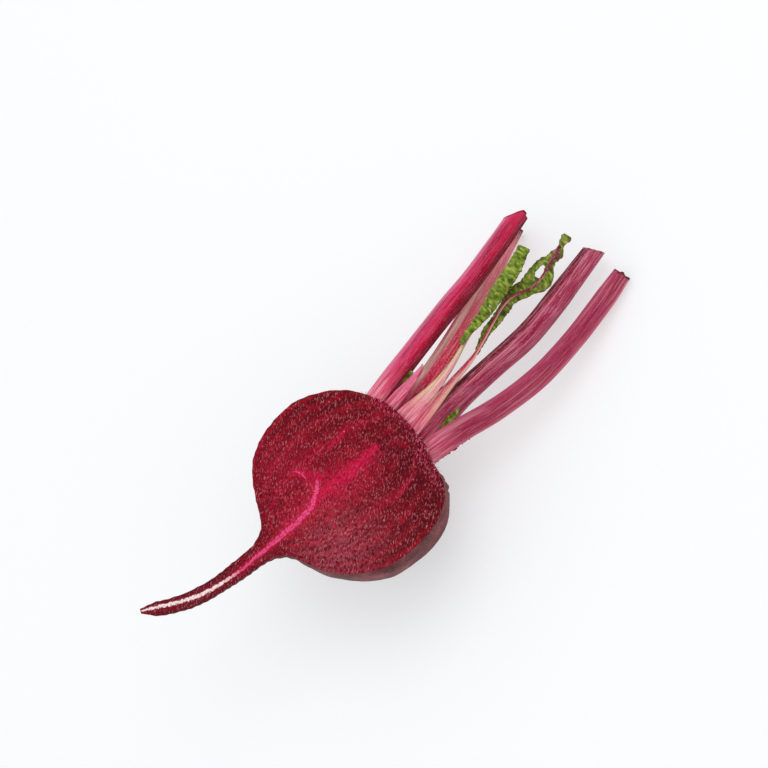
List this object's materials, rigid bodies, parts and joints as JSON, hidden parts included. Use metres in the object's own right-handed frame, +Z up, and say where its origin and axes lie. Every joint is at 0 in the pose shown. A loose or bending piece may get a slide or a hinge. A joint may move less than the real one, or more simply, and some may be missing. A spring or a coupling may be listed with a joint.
{
  "type": "halved beetroot",
  "caption": "Halved beetroot lying on its rounded back: flat cut face, tapering root tip, cut leaf stalks and small crinkled young leaves.",
  "frame": {"origin": "centre of the small flat on the round back, where the root rests on the floor", "axes": "+X runs from the root tip towards the stalk tips, +Y across the cut face to its left, +Z up, out of the cut face"},
  "size_m": [0.2019, 0.0863, 0.0488],
  "materials": {
    "root": "moist crimson cut flesh with darker rings, inside a matt maroon-brown skin",
    "stalk": "satin magenta with paler ribs",
    "young_stem": "satin pink to cream",
    "leaf": "satin crinkled green"
  },
  "bodies": {
    "root": {"beetroot_half": "root", "stalk_left": "stalk", "stalk_left_back": "stalk", "stalk_middle": "stalk", "stalk_right": "stalk", "stalk_stub": "stalk", "young_petiole_1": "young_stem", "young_petiole_2": "young_stem", "young_leaf_1": "leaf", "young_leaf_2": "leaf", "shoot_1": "leaf", "shoot_2": "leaf"}
  },
  "joints": []
}
